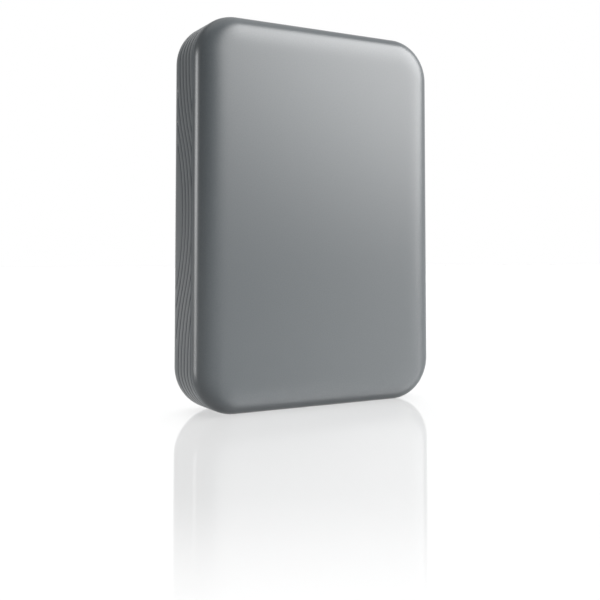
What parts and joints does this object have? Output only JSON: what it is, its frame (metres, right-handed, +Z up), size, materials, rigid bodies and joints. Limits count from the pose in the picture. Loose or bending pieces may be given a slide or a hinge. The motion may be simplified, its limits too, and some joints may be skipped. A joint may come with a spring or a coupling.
{
  "type": "portable external hard drive",
  "caption": "Slim upright portable hard drive in a satin grey case with a pillowed front, flowing ribs round its side band and a complete disc mechanism inside.",
  "frame": {"origin": "middle of the footprint, on the surface that the drive stands on", "axes": "+Z up along the drive's length, -Y out of the smooth front face, +X to the right seen from the front"},
  "size_m": [0.082, 0.021, 0.116],
  "materials": {
    "case_plastic": "fine satin moulding, cool grey",
    "cushion_rubber": "soft matt rubber",
    "pad_foam": "closed-cell foam",
    "shield_aluminium": "bright rolled foil",
    "cast_aluminium": "die cast, machined on the faces",
    "lid_steel": "stamped sheet, fine brushed",
    "gasket_rubber": "black elastomer",
    "screw_steel": "dark zinc plated",
    "turned_steel": "turned, satin",
    "spacer_aluminium": "turned, bright",
    "disc_coating": "polished mirror",
    "magnet_nickel": "nickel plated",
    "yoke_nickel": "nickel plated steel",
    "stator_steel": "coated laminations",
    "winding_copper": "enamelled copper wire",
    "arm_aluminium": "machined",
    "suspension_steel": "thin spring steel",
    "slider_ceramic": "dark ground ceramic",
    "ramp_plastic": "natural white",
    "filter_fleece": "white fleece",
    "flex_film": "amber film",
    "connector_plastic": "black",
    "board_resin": "green solder mask",
    "chip_resin": "black moulding compound",
    "can_steel": "stamped and plated",
    "capacitor_ceramic": "tan body",
    "light_lens": "clear moulded lens",
    "light_resin": "pale resin"
  },
  "bodies": {
    "case": {"air_filter": "filter_fleece", "board_pad": "pad_foam", "board_screws": "screw_steel", "bridge_board": "board_resin", "bridge_chip": "chip_resin", "bridge_socket": "connector_plastic", "capacitors": "capacitor_ceramic", "controller_board": "board_resin", "crystal": "can_steel", "drive_base": "cast_aluminium", "drive_lid": "lid_steel", "drive_plug": "connector_plastic", "end_cushion": "cushion_rubber", "flex_cable": "flex_film", "flex_connector": "connector_plastic", "front_cover": "case_plastic", "front_magnet": "magnet_nickel", "front_pads": "pad_foam", "front_yoke": "yoke_nickel", "left_cushion": "cushion_rubber", "lid_gasket": "gasket_rubber", "lid_screws": "screw_steel", "light_pipe": "light_lens", "main_chip": "chip_resin", "memory_chip": "chip_resin", "motor_chip": "chip_resin", "parking_ramp": "ramp_plastic", "pivot_front_bearing": "turned_steel", "pivot_rear_bearing": "turned_steel", "pivot_shaft": "turned_steel", "port_insert": "connector_plastic", "port_shell": "can_steel", "rear_cover": "case_plastic", "rear_magnet": "magnet_nickel", "rear_pads": "pad_foam", "rear_yoke": "yoke_nickel", "right_cushion": "cushion_rubber", "shield_foil": "shield_aluminium", "spindle_sleeve": "turned_steel", "stator_core": "stator_steel", "stator_windings": "winding_copper", "status_light": "light_resin", "yoke_posts": "yoke_nickel"},
    "disc_pack": {"spindle_hub": "turned_steel", "hub_magnet": "magnet_nickel", "disc_clamp": "turned_steel", "clamp_screw": "screw_steel", "disc_1": "disc_coating", "disc_2": "disc_coating", "disc_3": "disc_coating", "disc_4": "disc_coating", "spacer_1": "spacer_aluminium", "spacer_2": "spacer_aluminium", "spacer_3": "spacer_aluminium"},
    "arm": {"actuator_arm": "arm_aluminium", "voice_coil": "winding_copper", "head_suspensions": "suspension_steel", "head_sliders": "slider_ceramic"}
  },
  "joints": [
    {"name": "spindle_spin", "type": "hinge", "parent": "case", "child": "disc_pack", "pos_m": [0, 0, 0.03993], "axis": [0, 1, 0], "continuous": true},
    {"name": "arm_swing", "type": "hinge", "parent": "case", "child": "arm", "pos_m": [-0.012, 0, 0.07742], "axis": [0, 1, 0], "range_deg": [0, 32.6]}
  ]
}
